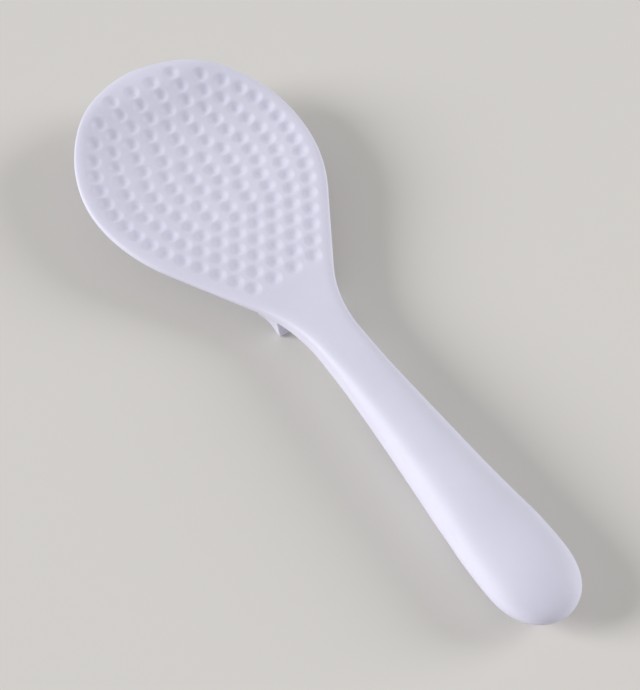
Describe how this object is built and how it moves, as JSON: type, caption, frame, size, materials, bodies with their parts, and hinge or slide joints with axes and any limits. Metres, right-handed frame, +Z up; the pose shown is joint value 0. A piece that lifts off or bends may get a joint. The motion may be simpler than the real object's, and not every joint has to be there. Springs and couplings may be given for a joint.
{
  "type": "rice paddle",
  "caption": "White moulded rice paddle with a dished, dimpled blade, a slim neck over a small foot, and a thick rounded hollow handle closed from below by a flush cover.",
  "frame": {"origin": "on the table, under the middle of the paddle's length, on its plane of symmetry", "axes": "+X from the handle's rounded end to the blade's tip, +Z up from the table through the blade's dished face, +Y to the side"},
  "size_m": [0.2092, 0.0692, 0.0184],
  "materials": {
    "white_plastic": "satin white moulded polypropylene"
  },
  "bodies": {
    "root": {"paddle_body": "white_plastic", "handle_back_cover": "white_plastic"}
  },
  "joints": []
}
